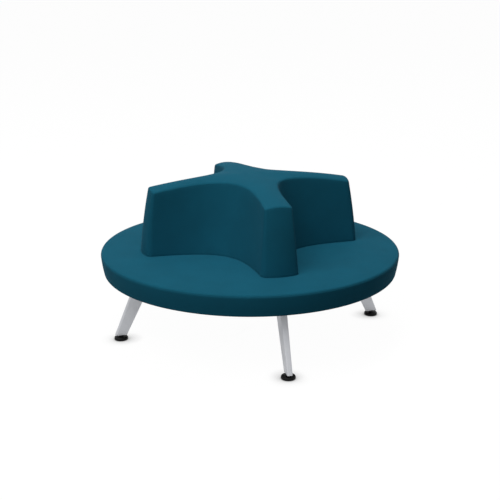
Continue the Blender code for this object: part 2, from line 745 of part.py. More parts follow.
def glide_stem_mesh():
    low = GLIDE_FLOOR + GAP
    points = [(0, low), (STEM_RADIUS, low), (STEM_RADIUS, stem_top() - STEM_CHAMFER),
              (STEM_RADIUS - STEM_CHAMFER, stem_top()), (0, stem_top())]
    return to_mesh(turned(points, BOLT_STEPS), "glide_stem")


# Assembly

def build_seat(slots, bolt_holes, screw_holes):
    cover = place("seat_cover", seat_cover_mesh(), "upholstery")
    foam = place("seat_foam", seat_foam_mesh(), "foam")
    board = place("seat_board", seat_board_mesh(), "plywood")
    dust = place("dust_cover", dust_cover_mesh(), "dust_cloth")
    cut(cover, slots)
    cut(foam, slots)
    cut(board, bolt_holes)
    cut(board, screw_holes)
    cut(dust, screw_holes)


def build_back(slots, bolt_holes):
    place("back_cover", back_cover_mesh(), "upholstery")
    foam = place("back_foam", back_foam_mesh(), "foam")
    base = place("back_base", base_plate_mesh("back_base", BASE_SETBACK, BASE_BOTTOM, BASE_TOP), "plywood")
    base_room = base_plate_mesh("base_room", BASE_SETBACK - GAP, BACK_FOOT - CUT_OVERRUN, UPRIGHT_FOOT)
    cut(foam, cutter("base_room", base_room))
    cut(foam, cutter("upright_room_x", upright_room_mesh(0, GAP)))
    cut(foam, cutter("upright_room_y", upright_room_mesh(90, 2 * GAP)))
    cut(base, slots)
    uprights = (place("back_upright_x", upright_mesh("back_upright_x", True), "plywood"),
                place("back_upright_y", upright_mesh("back_upright_y", False), "plywood", turn=90))
    holes = nut_holes()
    for upright in uprights:
        cut(upright, bolt_holes)
        for hole in holes:
            cut(upright, hole)


def build_bolts():
    bolt = bolt_mesh()
    nut = to_mesh(lying_cylinder(NUT_RADIUS, UPRIGHT_THICKNESS / 2 - NUT_SHORTFALL), "barrel_nut")
    threads = cutter("thread_holes", thread_holes_mesh())
    for side, degrees in SIDES:
        place("back_bolt_" + side, bolt, "zinc", polar(BOLT_PLACE, degrees, 0))
        barrel = place("barrel_nut_" + side, nut, "zinc", polar(BOLT_PLACE, degrees, NUT_AXIS), degrees)
        cut(barrel, threads)


def build_legs(screw_holes):
    leg = leg_mesh()
    screw = screw_mesh()
    bores = cutter("stem_bores", stem_bores_mesh())
    for side, degrees in SIDES:
        standing = place("leg_" + side, leg, "cast_aluminium", turn=degrees)
        cut(standing, screw_holes)
        cut(standing, bores)
        for number, (along, across) in enumerate(screw_places(), 1):
            spot = Matrix.Rotation(math.radians(degrees), 3, "Z") @ Vector((along, across, 0))
            place(f"leg_screw_{side}_{number}", screw, "zinc", spot)


def build_glides():
    foot = glide_foot_mesh()
    stem = glide_stem_mesh()
    for side, degrees in SIDES:
        spot = polar(GLIDE_PLACE, degrees, 0)
        place("glide_foot_" + side, foot, "black_plastic", spot)
        place("glide_stem_" + side, stem, "zinc", spot)


def main():
    for thing in list(bpy.data.objects):
        bpy.data.objects.remove(thing, do_unlink=True)
    slots = cutter("tenon_slots", tenon_slots_mesh())
    bolt_holes = cutter("bolt_holes", bolt_holes_mesh())
    screw_holes = cutter("screw_holes", screw_holes_mesh())
    build_seat(slots, bolt_holes, screw_holes)
    build_back(slots, bolt_holes)
    build_bolts()
    build_legs(screw_holes)
    build_glides()


main()
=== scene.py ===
import math

import bmesh
import bpy
import numpy as np
from mathutils import Matrix, Vector


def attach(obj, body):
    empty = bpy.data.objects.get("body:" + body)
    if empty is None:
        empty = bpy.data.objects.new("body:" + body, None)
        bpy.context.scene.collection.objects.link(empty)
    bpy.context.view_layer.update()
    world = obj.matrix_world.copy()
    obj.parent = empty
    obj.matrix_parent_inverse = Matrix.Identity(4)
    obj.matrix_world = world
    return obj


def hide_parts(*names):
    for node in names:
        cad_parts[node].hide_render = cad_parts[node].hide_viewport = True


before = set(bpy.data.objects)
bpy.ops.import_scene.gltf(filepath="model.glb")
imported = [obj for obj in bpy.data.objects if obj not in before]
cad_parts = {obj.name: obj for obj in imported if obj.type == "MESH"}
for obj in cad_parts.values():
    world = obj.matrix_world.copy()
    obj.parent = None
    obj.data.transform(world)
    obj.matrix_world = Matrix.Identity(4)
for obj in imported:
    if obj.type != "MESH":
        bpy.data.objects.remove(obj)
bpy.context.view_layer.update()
sides = {"front": -90, "right": 0, "rear": 90, "left": 180}    # degrees round from +X
print("frame loaded:", len(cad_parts), "CAD nodes")


# Small helpers.

def between(first, last, share):
    return first + (last - first) * share


def deselectAll():
    if bpy.context.object and bpy.context.object.mode != "OBJECT":
        bpy.ops.object.mode_set(mode="OBJECT")
    bpy.ops.object.select_all(action="DESELECT")


def pick(piece):
    deselectAll()
    piece.select_set(True)
    bpy.context.view_layer.objects.active = piece


def arcPoints(centre, radius, start, end, steps):
    # points of a rounding, from one angle in degrees to another
    found = []
    for step in range(steps + 1):
        angle = math.radians(between(start, end, step / steps))
        found.append((centre[0] + radius * math.cos(angle), centre[1] + radius * math.sin(angle)))
    return found


def quarterTurn(steps, first=0):
    return [math.pi / 2 * step / steps for step in range(first, steps + 1)]


def startEdit(piece, action="SELECT"):
    pick(piece)
    bpy.ops.object.mode_set(mode="EDIT")
    bpy.ops.mesh.select_all(action=action)


def growRings(name, rings, weld=0.00001):
    # A circle is added and shaped to the first ring, then extruded and shaped again for each further one.
    # Both ends are filled.
    deselectAll()
    bpy.ops.mesh.primitive_circle_add(vertices=len(rings[0]), radius=1, fill_type="NOTHING")
    piece = bpy.context.object
    piece.name = name
    startEdit(piece)
    mesh = bmesh.from_edit_mesh(piece.data)
    mesh.verts.ensure_lookup_table()
    for vertex, point in zip(mesh.verts, rings[0]):
        vertex.co = point
    places = {vertex.index: spot for spot, vertex in enumerate(mesh.verts)}
    for ring in rings[1:]:
        bpy.ops.mesh.extrude_region_move()
        mesh = bmesh.from_edit_mesh(piece.data)
        mesh.verts.index_update()
        grown = {}
        for vertex in mesh.verts:
            if not vertex.select:
                continue
            below = next(edge.other_vert(vertex) for edge in vertex.link_edges
                         if not edge.other_vert(vertex).select)
            grown[vertex.index] = places[below.index]
            vertex.co = ring[places[below.index]]
        places = grown
    bmesh.update_edit_mesh(piece.data)
    bpy.ops.object.mode_set(mode="OBJECT")
    startEdit(piece, "DESELECT")
    bpy.ops.mesh.select_non_manifold()
    bpy.ops.mesh.edge_face_add()
    bpy.ops.object.mode_set(mode="OBJECT")
    mergeAndTurnOut(piece, weld)
    return piece


def mergeAndTurnOut(piece, distance=0.00001):
    startEdit(piece)
    bpy.ops.mesh.remove_doubles(threshold=distance)
    bpy.ops.mesh.normals_make_consistent(inside=False)
    bpy.ops.object.mode_set(mode="OBJECT")


def spinProfile(name, profile, steps):
    # One vertex is drawn out along the profile of radius and height, then spun round the Z axis.
    deselectAll()
    bpy.ops.mesh.primitive_plane_add(size=0.001, location=(0, 0, 0))
    piece = bpy.context.object
    piece.name = name
    startEdit(piece)
    bpy.ops.mesh.merge(type="CENTER")
    start = (profile[0][0], 0, profile[0][1])
    bpy.ops.transform.translate(value=start)
    for first, last in zip(profile, profile[1:]):
        step = (last[0] - first[0], 0, last[1] - first[1])
        bpy.ops.mesh.extrude_region_move(TRANSFORM_OT_translate={"value": step})
    bpy.ops.mesh.select_all(action="SELECT")
    bpy.ops.mesh.spin(steps=steps, angle=math.tau, center=(0, 0, 0), axis=(0, 0, 1))
    bpy.ops.object.mode_set(mode="OBJECT")
    mergeAndTurnOut(piece)
    return piece


def dress(piece, material, degrees):
    # gives a piece its material, and smooths edges that are flatter than these degrees
    piece.data.materials.append(material)
    pick(piece)
    bpy.ops.object.shade_smooth_by_angle(angle=math.radians(degrees))


def cutAway(piece):
    # cuts the shape that was just added out of the piece
    tool = bpy.context.object
    pick(piece)
    modifier = piece.modifiers.new("cut", "BOOLEAN")
    modifier.operation = "DIFFERENCE"
    modifier.solver = "EXACT"
    modifier.object = tool
    bpy.ops.object.modifier_apply(modifier=modifier.name)
    bpy.data.objects.remove(tool, do_unlink=True)
    deselectAll()


def copyTo(piece, name, matrix):
    # a copy with its own mesh, moved or turned in that mesh
    other = piece.copy()
    other.data = piece.data.copy()
    other.name = name
    bpy.context.scene.collection.objects.link(other)
    other.data.transform(matrix)
    return other


def turned(side):
    return Matrix.Rotation(math.radians(sides[side]), 4, "Z")


# Materials.

def hexColour(text):
    # an sRGB hex value as linear red, green, blue and alpha
    channels = [int(text[i:i + 2], 16) / 255 for i in (1, 3, 5)]
    return [c / 12.92 if c <= 0.04045 else ((c + 0.055) / 1.055) ** 2.4 for c in channels] + [1.0]


def setNode(tree, node, parts):
    # A part is a link from another node's socket, a constant on a socket or, in small letters, a setting.
    # A node given as a part stands for its first output.
    for key, value in parts.items():
        if isinstance(value, bpy.types.Node):
            value = value.outputs[0]
        if isinstance(value, bpy.types.NodeSocket):
            tree.links.new(value, node.inputs[key])
        elif str(key).islower():
            setattr(node, key, value)
        else:
            node.inputs[key].default_value = hexColour(value) if isinstance(value, str) else value


def addNode(tree, kind, parts=None):
    node = tree.nodes.new("ShaderNode" + kind)
    setNode(tree, node, parts or {})
    return node


def startMaterial(name, parts):
    material = bpy.data.materials.new(name)
    material.use_nodes = True
    tree = material.node_tree
    shader = tree.nodes["Principled BSDF"]
    setNode(tree, shader, parts)
    return material, tree, shader, addNode(tree, "TexCoord").outputs["Object"]


waveStep = 0.314159     # a wave texture's bands repeat every 0.31416 / scale

wool = {
    "dark": "#0E5267", "light": "#146279",      # the two yarns, spun from melange wool
    "thread": 0.0014,           # metres from thread to thread
    "fibresPerMetre": 900.0, "yarnsPerMetre": 260.0, "cloudsPerMetre": 7.0,
    # the seam's darkening below is painted shade in its groove
    "weaveDepth": 0.00035, "seamWidth": 0.0016, "seamDepth": 0.0009, "seamShade": 0.82,
    "roughness": 0.92, "gloss": 0.14, "sheen": 0.02, "sheenRoughness": 0.45, "sheenTint": "#7FB2C0",
}


def woolCloth():
    # Felted plain-weave wool: threads 1.4 mm apart under a short nap, which softens the light's edge and
    # gives a faint pale sheen where the cloth is seen at a low angle. Two near shades of yarn make it melange.
    material, tree, shader, place = startMaterial("woolCloth_feltedPlainWeave", {
        "Roughness": wool["roughness"], "Specular IOR Level": wool["gloss"], "Sheen Weight": wool["sheen"],
        "Sheen Roughness": wool["sheenRoughness"], "Sheen Tint": wool["sheenTint"]})
    uv = addNode(tree, "UVMap", {"uv_map": "cloth"})
    perMetre = waveStep / (2 * wool["thread"])
    warp, weft = [
        addNode(tree, "TexWave", {"bands_direction": way, "Scale": perMetre, "Vector": uv}) for way in "XY"]
    threads = addNode(tree, "Math", {"operation": "MULTIPLY", 0: warp.outputs["Fac"], 1: weft.outputs["Fac"]})
    fibre, yarn, broad = [
        addNode(tree, "TexNoise", {"Scale": wool[key], "Detail": detail, "Roughness": rough, "Vector": source})
        for key, detail, rough, source in (
            ("fibresPerMetre", 3.0, 0.6, uv), ("yarnsPerMetre", 4.0, 0.7, uv),
            ("cloudsPerMetre", 3.0, 0.55, place))]
    mixed = addNode(tree, "Math", {"operation": "MULTIPLY_ADD", 0: yarn, 1: 0.55, 2: threads})
    spread = addNode(tree, "MapRange", {"From Min": 0.1, "From Max": 1.0, "Value": mixed})
    yarnColour = addNode(tree, "Mix", {"data_type": "RGBA", 0: spread, 6: wool["dark"], 7: wool["light"]})
    lift = addNode(tree, "MapRange", {
        "From Min": 0.3, "From Max": 0.7, "To Min": 0.95, "To Max": 1.05, "Value": broad})
    # the sewn seams: a narrow groove, bumped in, with painted shade that makes it a little darker, from the
    # distance kept on the mesh
    distance = addNode(tree, "Attribute", {"attribute_name": "seamDistance"})
    groove = addNode(tree, "MapRange", {
        "interpolation_type": "SMOOTHSTEP", "From Min": 0.0, "From Max": wool["seamWidth"],
        "To Min": 1.0, "To Max": 0.0, "Value": distance.outputs["Fac"]})
    # painted shade: the colour is darkened along the seam's groove
    shade = addNode(tree, "MapRange", {"To Min": 1.0, "To Max": wool["seamShade"], "Value": groove})
    level = addNode(tree, "Math", {"operation": "MULTIPLY", 0: lift, 1: shade})
    painted = addNode(tree, "VectorMath", {"operation": "SCALE", 0: yarnColour.outputs[2], "Scale": level})
    height = addNode(tree, "Math", {"operation": "MULTIPLY_ADD", 0: fibre, 1: 0.5, 2: threads})
    weaveBump = addNode(tree, "Bump", {"Strength": 0.35, "Distance": wool["weaveDepth"], "Height": height})
    seamBump = addNode(tree, "Bump", {
        "invert": True, "Strength": 0.8, "Distance": wool["seamDepth"], "Height": groove, "Normal": weaveBump})
    setNode(tree, shader, {"Base Color": painted, "Normal": seamBump})
    return material


aluminium = {"colour": "#D7D9DD", "shade": "#CACCD1", "roughness": 0.48, "flakes": 0.62,
             "grit": 0.0006, "gritDepth": 0.0002, "patchesPerMetre": 18.0}


def castAluminium():
    # Die-cast aluminium, blasted with fine grit and sprayed with silver lacquer. The metal flakes in the
    # lacquer give broad soft highlights, and its binder keeps a plain grey in the shade.
    material, tree, shader, place = startMaterial("castAluminium_silverLacquered", {
        "Metallic": aluminium["flakes"], "Roughness": aluminium["roughness"]})
    grain = addNode(tree, "TexNoise", {
        "Scale": 1 / (4 * aluminium["grit"]), "Detail": 4.0, "Roughness": 0.65, "Vector": place})
    patch = addNode(tree, "TexNoise", {"Scale": aluminium["patchesPerMetre"], "Vector": place})
    tint = addNode(tree, "Mix", {
        "data_type": "RGBA", 0: grain, 6: aluminium["shade"], 7: aluminium["colour"]})
    rough = addNode(tree, "MapRange", {
        "From Min": 0.3, "From Max": 0.7, "To Min": aluminium["roughness"] - 0.05,
        "To Max": aluminium["roughness"] + 0.07, "Value": patch})
    bump = addNode(tree, "Bump", {"Strength": 0.12, "Distance": aluminium["gritDepth"], "Height": grain})
    setNode(tree, shader, {"Base Color": tint.outputs[2], "Roughness": rough, "Normal": bump})
    return material


polymer = {"dark": "#070708", "light": "#111113", "gloss": 0.14, "roughness": 0.5,
           "grainsPerMetre": 1100.0, "grainDepth": 0.0001, "scuffsPerMetre": 90.0}


def mouldedPolymer():
    # Black polypropylene, injection moulded in a lightly sparked tool: dark, with a dull grained gloss.
    material, tree, shader, place = startMaterial("polypropylene_moulded", {
        "Roughness": polymer["roughness"], "Specular IOR Level": polymer["gloss"]})
    grain = addNode(tree, "TexNoise", {"Scale": polymer["grainsPerMetre"], "Vector": place})
    scuff = addNode(tree, "TexNoise", {
        "Scale": polymer["scuffsPerMetre"], "Detail": 5.0, "Roughness": 0.7, "Vector": place})
    tint = addNode(tree, "Mix", {"data_type": "RGBA", 0: scuff, 6: polymer["dark"], 7: polymer["light"]})
    rough = addNode(tree, "MapRange", {
        "To Min": polymer["roughness"] - 0.06, "To Max": polymer["roughness"] + 0.1, "Value": scuff})
    bump = addNode(tree, "Bump", {"Strength": 0.15, "Distance": polymer["grainDepth"], "Height": grain})
    setNode(tree, shader, {"Base Color": tint.outputs[2], "Roughness": rough, "Normal": bump})
    return material


steel = {"dark": "#9A9DA3", "light": "#B9BCC0", "roughness": 0.34, "cloudsPerMetre": 240.0}


def platedSteel():
    # Mild steel, turned or rolled and then zinc plated: pale bluish grey with cloudy patches.
    material, tree, shader, place = startMaterial("steel_zincPlated", {
        "Metallic": 1.0, "Roughness": steel["roughness"]})
    cloud = addNode(tree, "TexNoise", {"Scale": steel["cloudsPerMetre"], "Detail": 3.0, "Vector": place})
    tint = addNode(tree, "Mix", {"data_type": "RGBA", 0: cloud, 6: steel["dark"], 7: steel["light"]})
    rough = addNode(tree, "MapRange", {
        "To Min": steel["roughness"] - 0.08, "To Max": steel["roughness"] + 0.1, "Value": cloud})
    setNode(tree, shader, {"Base Color": tint.outputs[2], "Roughness": rough})
    return material


plywood = {"dark": "#A98257", "light": "#DDBF94", "roughness": 0.62, "layer": 0.0015,
           "alongGrain": 4.0, "acrossGrain": 60.0, "grainDepth": 0.0002}


def birchPlywood():
    # Birch plywood, sanded and left bare: fine grain along X, and layers 1.5 mm thick on its edges.
    material, tree, shader, place = startMaterial("birchPlywood_sanded", {"Roughness": plywood["roughness"]})
    across = plywood["acrossGrain"]
    stretched = addNode(tree, "Mapping", {"Scale": (plywood["alongGrain"], across, across), "Vector": place})
    grain = addNode(tree, "TexNoise", {"Scale": 6.0, "Detail": 5.0, "Distortion": 0.4, "Vector": stretched})
    layers = addNode(tree, "TexWave", {
        "bands_direction": "Z", "Scale": waveStep / (2 * plywood["layer"]), "Vector": place})
    mixed = addNode(tree, "Math", {
        "operation": "MULTIPLY_ADD", 0: layers.outputs["Fac"], 1: 0.25, 2: grain})
    tint = addNode(tree, "Mix", {"data_type": "RGBA", 0: mixed, 6: plywood["dark"], 7: plywood["light"]})
    bump = addNode(tree, "Bump", {"Strength": 0.2, "Distance": plywood["grainDepth"], "Height": grain})
    setNode(tree, shader, {"Base Color": tint.outputs[2], "Normal": bump})
    return material


spunbond = {"dark": "#151517", "light": "#26262A", "roughness": 0.88, "sheen": 0.15, "gloss": 0.3,
            "weldPitch": 0.0025, "weldDepth": 0.0002, "fibresPerMetre": 60.0}


def spunbondCloth():
    # Black spunbond polypropylene: a thin matt non-woven cloth with a grid of small welded points.
    material, tree, shader, place = startMaterial("spunbond_welded", {
        "Roughness": spunbond["roughness"], "Sheen Weight": spunbond["sheen"],
        "Specular IOR Level": spunbond["gloss"]})
    perMetre = waveStep / spunbond["weldPitch"]
    across, along = [
        addNode(tree, "TexWave", {"bands_direction": way, "Scale": perMetre, "Vector": place}) for way in "XY"]
    points = addNode(tree, "Math", {"operation": "MULTIPLY", 0: across.outputs["Fac"], 1: along.outputs["Fac"]})
    fibre = addNode(tree, "TexNoise", {
        "Scale": spunbond["fibresPerMetre"], "Detail": 6.0, "Roughness": 0.7, "Vector": place})
    tint = addNode(tree, "Mix", {"data_type": "RGBA", 0: fibre, 6: spunbond["dark"], 7: spunbond["light"]})
    bump = addNode(tree, "Bump", {
        "invert": True, "Strength": 0.4, "Distance": spunbond["weldDepth"], "Height": points})
    setNode(tree, shader, {"Base Color": tint.outputs[2], "Normal": bump})
    return material


woolMaterial = woolCloth()
aluminiumMaterial = castAluminium()
polymerMaterial = mouldedPolymer()
steelMaterial = platedSteel()
plywoodMaterial = birchPlywood()
spunbondMaterial = spunbondCloth()
print("materials made")


# Cloth over foam: it is drawn a little small, and then blown out against its own tension.

upholstery = {"shrink": 0.0005, "pressure": 0.8, "cap": 0.0007, "frames": 20}
clothSettings = {
    "quality": 5, "mass": 0.3, "use_pressure": True, "vertex_group_mass": "held",
    "tension_stiffness": 30, "compression_stiffness": 30, "shear_stiffness": 12, "bending_stiffness": 1.5,
}


def inflate(piece, held):
    scene = bpy.context.scene
    group = piece.vertex_groups.new(name="held")
    group.add(held, 1.0, "ADD")
    cloth = piece.modifiers.new("cloth", "CLOTH")
    for key, value in clothSettings.items():
        setattr(cloth.settings, key, value)
    cloth.settings.uniform_pressure_force = upholstery["pressure"]
    cloth.settings.effector_weights.gravity = 0
    cloth.collision_settings.use_collision = False
    cloth.point_cache.frame_start = 1
    cloth.point_cache.frame_end = upholstery["frames"]
    count = len(piece.data.vertices)
    before = np.empty(count * 3)
    outward = np.empty(count * 3)
    piece.data.vertices.foreach_get("co", before)
    piece.data.vertices.foreach_get("normal", outward)
    for number in range(1, upholstery["frames"] + 1):
        scene.frame_set(number)
    after = np.empty(count * 3)
    evaluated = piece.evaluated_get(bpy.context.evaluated_depsgraph_get())
    evaluated.data.vertices.foreach_get("co", after)
    # each point keeps the outward part of its way, and none moves further than the cap
    outward = outward.reshape(-1, 3)
    length = np.maximum(((after - before).reshape(-1, 3) * outward).sum(axis=1), 0)
    capped = upholstery["cap"] * (1 - np.exp(-length / upholstery["cap"]))
    move = outward * capped[:, None]
    piece.modifiers.remove(cloth)
    piece.vertex_groups.remove(group)
    piece.data.vertices.foreach_set("co", before + move.ravel())
    piece.data.update()
    scene.frame_set(1)
    print(piece.name, "blown out: most and mean in mm", np.round(length.max() * 1000, 2),
          np.round(length.mean() * 1000, 2), "after the cap", np.round(capped.max() * 1000, 2))


def storeClothMap(piece, faceMap, distances):
    # the UV map in metres of cloth, and each point's distance from the nearest seam
    layer = piece.data.uv_layers.new(name="cloth")
    for face in piece.data.polygons:
        for loop in face.loop_indices:
            vertex = piece.data.loops[loop].vertex_index
            layer.data[loop].uv = faceMap(face, vertex)
    kept = piece.data.attributes.new("seamDistance", "FLOAT", "POINT")
    kept.data.foreach_set("value", np.asarray(distances, dtype=np.float32))


# The seat: one round cushion whose cloth turns under at the hem.

seat = {
    "radius": 0.7825, "height": 0.4675, "underside": 0.3445,
    "crown": 0.0115, "flatTo": 0.582,       # its top is level to the back's arms and falls from there
    "topEdge": 0.016, "lowerEdge": 0.010, "taper": 0.013, "belly": 0.0015,
    "hem": 0.050, "hemStep": 0.002, "lining": 0.0021,       # the closing face lies this much above the hem
    "pleats": 110, "pleatDepth": 0.0007, "pleatRise": 0.02, "pleatsFrom": 0.7,
    "heldTo": 0.2, "heldShare": 0.4,        # where the foam and the hem hold the cloth
    "steps": 384, "innerRows": (0.0, 0.06, 0.12, 0.17, 0.21), "outerRowsFrom": 0.24, "outerRows": 60,
    "edgeSteps": 9, "seamStep": 6,          # the seam lies on the lower part of the rounding
    "bandRows": 12, "lowerSteps": 6, "hemRows": 5, "flatBelow": 0.004,
}


def seatProfile():
    place = seat["radius"] - seat["topEdge"]
    slope = math.atan2(2 * seat["crown"], place - seat["flatTo"])
    crownEnd = place + seat["topEdge"] * math.sin(slope)
    edgeHeight = seat["height"] - seat["crown"] - seat["topEdge"] * math.cos(slope)
    small = upholstery["shrink"]
    points = []
    outer = np.linspace(seat["outerRowsFrom"], crownEnd, seat["outerRows"])[:-1]
    for radius in list(seat["innerRows"]) + list(outer):
        share = max(radius - seat["flatTo"], 0) / (crownEnd - seat["flatTo"])
        points.append((radius, seat["height"] - small - seat["crown"] * share ** 2))
    start = 90 - math.degrees(slope)
    turn = arcPoints((place, edgeHeight), seat["topEdge"] - small, start, 0, seat["edgeSteps"])
    seamSpot = len(points) + seat["seamStep"]
    heldRows = range(len(points), len(points) + len(turn))      # the foam's edge holds the cloth here
    points += turn
    lowerPlace = seat["radius"] - seat["taper"] - seat["lowerEdge"]
    lowerHeight = seat["underside"] + seat["lowerEdge"]
    for row in range(1, seat["bandRows"]):
        share = row / seat["bandRows"]
        bulge = 4 * seat["belly"] * share * (1 - share)
        points.append((seat["radius"] - seat["taper"] * share + bulge - small,
                       between(edgeHeight, lowerHeight, share)))
    points += arcPoints((lowerPlace, lowerHeight), seat["lowerEdge"] - small, 0, -90, seat["lowerSteps"])
    hemEdge = seat["radius"] - seat["taper"] - seat["hem"]
    for row in range(1, seat["hemRows"] + 1):
        points.append((between(lowerPlace, hemEdge, row / seat["hemRows"]), seat["underside"] + small))
    lining = seat["underside"] + seat["lining"]
    points += [(hemEdge - seat["hemStep"], lining), (0.0, lining)]
    return points, seamSpot, heldRows


def buildSeat():
    profile, seamSpot, heldRows = seatProfile()
    piece = spinProfile("seatUpholstery", profile, seat["steps"])
    along = [0.0]
    for first, last in zip(profile, profile[1:]):
        along.append(along[-1] + math.dist(first, last))
    distances, held = [], []
    seamHeight = profile[seamSpot][1]
    lowest = seat["underside"] + seat["lowerEdge"] * seat["heldShare"]
    for vertex in piece.data.vertices:
        radius = math.hypot(vertex.co.x, vertex.co.y)
        row = min(range(len(profile)), key=lambda r: math.dist(profile[r], (radius, vertex.co.z)))
        distance = abs(along[row] - along[seamSpot])
        if vertex.co.z < seamHeight:    # the band is closed by one seam at the rear
            distance = min(distance, abs(math.atan2(vertex.co.x, vertex.co.y)) * seat["radius"])
        distances.append(distance)
        if vertex.co.z < lowest or radius < seat["heldTo"] or row in heldRows:
            held.append(vertex.index)
    heldSet = set(held)

    def clothPlace(face, vertex):
        co = piece.data.vertices[vertex].co
        if face.center.z > seamHeight or face.center.z < seat["underside"] + seat["flatBelow"]:
            return co.x, co.y
        angle = math.atan2(co.y, co.x)
        middle = math.atan2(face.center.y, face.center.x)
        if angle - middle > math.pi:
            angle -= math.tau
        elif middle - angle > math.pi:
            angle += math.tau
        return angle * seat["radius"], co.z

    storeClothMap(piece, clothPlace, distances)
    inflate(piece, held)
    hemStart = seat["radius"] - seat["taper"] - seat["lowerEdge"]
    for vertex in piece.data.vertices:      # the hem is gathered in small pleats where it turns under
        radius = math.hypot(vertex.co.x, vertex.co.y)
        if vertex.index in heldSet and seat["pleatsFrom"] < radius < hemStart:
            share = min((hemStart - radius) / seat["pleatRise"], 1)
            wavePlace = math.cos(seat["pleats"] * math.atan2(vertex.co.y, vertex.co.x))
            vertex.co.z += seat["pleatDepth"] * share * (0.5 + 0.5 * wavePlace)
    dress(piece, woolMaterial, 60)
    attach(piece, "sofa")
    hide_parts("seat_cover", "seat_foam")
    return piece


# The back: four arms between four hollow niches, wider at the seat than at the top.

back = {
    "foot": 0.4678, "rim": 0.8410, "fall": 0.0512,      # the height of its top edges, falling to the arms' ends
    "crown": 0.012,             # the top is domed across each arm by this much
    "reachFoot": 0.260, "reachTop": 0.191,      # from the centre to a niche's deepest point
    "endFoot": 0.579, "endTop": 0.529,          # from the centre to the middle of an arm's end
    "halfFoot": 0.095, "halfTop": 0.070,
    "bulgeFoot": 0.021, "bulgeTop": 0.008, "belly": 0.0055,
    "flareFoot": 1.320, "flareTop": 1.426,
    "cornerFoot": 0.021, "cornerTop": 0.012, "topEdge": 0.009, "footEdge": 0.003,
    "heldRows": 6, "endSteps": 7, "cornerSteps": 8,
    "nicheSteps": 54, "evenness": 1.15,     # the second spaces the columns along a niche
    "footSteps": 5, "wallRows": 34, "edgeSteps": 8, "capRows": 9, "rimSteps": 40, "weld": 0.0004,
}


def backValue(name, share):
    return between(back[name + "Foot"], back[name + "Top"], share)


def armEnd(share):
    end = backValue("end", share) + 4 * back["belly"] * share * (1 - share)
    return end, backValue("half", share), backValue("bulge", share)


def nicheCurve(share):
    # a hyperbola about the line midway between two arms, through its reach and the corners of the arms
    end, half, bulge = armEnd(share)
    reach, flare = backValue("reach", share), backValue("flare", share)
    rise = (end - bulge + half) / math.sqrt(2) - reach
    across = (end - bulge - half) / math.sqrt(2)
    depth = ((flare * across) ** 2 - rise ** 2) / (2 * rise)
    return reach - depth, depth, flare, across


def nichePoint(curve, across):
    middle, depth, flare = curve[:3]
    along = middle + math.sqrt(depth ** 2 + (flare * across) ** 2)
    return Vector(((along - across) / math.sqrt(2), (along + across) / math.sqrt(2)))


def nicheWay(curve, across):
    depth, flare = curve[1:3]
    slope = flare ** 2 * across / math.sqrt(depth ** 2 + (flare * across) ** 2)
    return Vector(((slope - 1) / math.sqrt(2), (slope + 1) / math.sqrt(2))).normalized()


def cornerPoints(start, startWay, end, endWay, steps):
    # a rounding that leaves the one edge and meets the other along their own ways
    turn = startWay.x * endWay.y - startWay.y * endWay.x
    apart = end - start
    corner = start + startWay * ((apart.x * endWay.y - apart.y * endWay.x) / turn)
    pull = math.sqrt(max(1 - (1 - startWay.dot(endWay)) / 2, 0))
    found = []
    for step in range(steps + 1):
        late = step / steps
        weights = ((1 - late) ** 2, 2 * late * (1 - late) * pull, late ** 2)
        found.append((start * weights[0] + corner * weights[1] + end * weights[2]) / sum(weights))
    return found


def backOutline(share):
    # the outline at a share of the height, anticlockwise from the middle of the +X arm's end
    end, half, bulge = armEnd(share)
    curve = nicheCurve(share)
    corner = backValue("corner", share)
    face = 1 - corner / half
    faceStart = Vector((end - bulge * face ** 2, half * face))
    faceWay = Vector((-2 * bulge * face / half, 1)).normalized()
    sideStart = -curve[3] + corner / math.sqrt(2)
    points = []
    for step in range(back["endSteps"]):
        part = face * step / back["endSteps"]
        points.append(Vector((end - bulge * part ** 2, half * part)))
    niche = nichePoint(curve, sideStart), nicheWay(curve, sideStart)
    rounding = cornerPoints(faceStart, faceWay, *niche, back["cornerSteps"])
    points += rounding
    for step in range(1, back["nicheSteps"]):
        spot = 2 * step / back["nicheSteps"] - 1
        points.append(nichePoint(curve, -sideStart * between(spot ** 3, spot, back["evenness"])))
    points += [Vector((p.y, p.x)) for p in reversed(rounding)]
    points += [Vector((p.y, p.x)) for p in reversed(points[1:back["endSteps"]])]
    around = []
    for cosine, sine in ((1, 0), (0, 1), (-1, 0), (0, -1)):
        around += [Vector((p.x * cosine - p.y * sine, p.x * sine + p.y * cosine)) for p in points]
    return around


def domeShape(x, y):
    # nought on an arm's middle line, and growing with the square of the distance from it
    return x * x * y * y / max(x * x + y * y, 1e-9)


curve = nicheCurve(1)
rimPoints = [nichePoint(curve, curve[3] * step / back["rimSteps"]) for step in range(back["rimSteps"] + 1)]
rimReach = [point.length for point in rimPoints]
rimShape = [domeShape(point.x, point.y) for point in rimPoints]


def topHeight(x, y):
    # falls from the middle to the arms' ends, and is domed between one rim and the next
    reach = math.hypot(x, y)
    dome = max(1 - domeShape(x, y) / float(np.interp(reach, rimReach, rimShape)), 0)
    return back["rim"] - back["fall"] * (reach / back["endTop"]) ** 2 + back["crown"] * dome


def setIn(points, inset):
    # moves a closed outline inwards
    moved = []
    for index, point in enumerate(points):
        way = (points[(index + 1) % len(points)] - points[index - 1]).normalized()
        moved.append(point + Vector((-way.y, way.x)) * inset)
    return moved


def armLine(point):
    # the nearest place on the arms' middle lines
    reach = max(abs(point.x), abs(point.y)) - min(abs(point.x), abs(point.y))
    reach = min(reach, back["endTop"] - back["halfTop"])
    if abs(point.x) > abs(point.y):
        return Vector((math.copysign(reach, point.x), 0))
    return Vector((0, math.copysign(reach, point.y)))


def backRow(share, inset):
    # one row of the cover, from the foot at share nought to the top at share one
    small = upholstery["shrink"]
    row = []
    for point in setIn(backOutline(share), inset + small):
        row.append((point.x, point.y, between(back["foot"], topHeight(point.x, point.y) - small, share)))
    return row


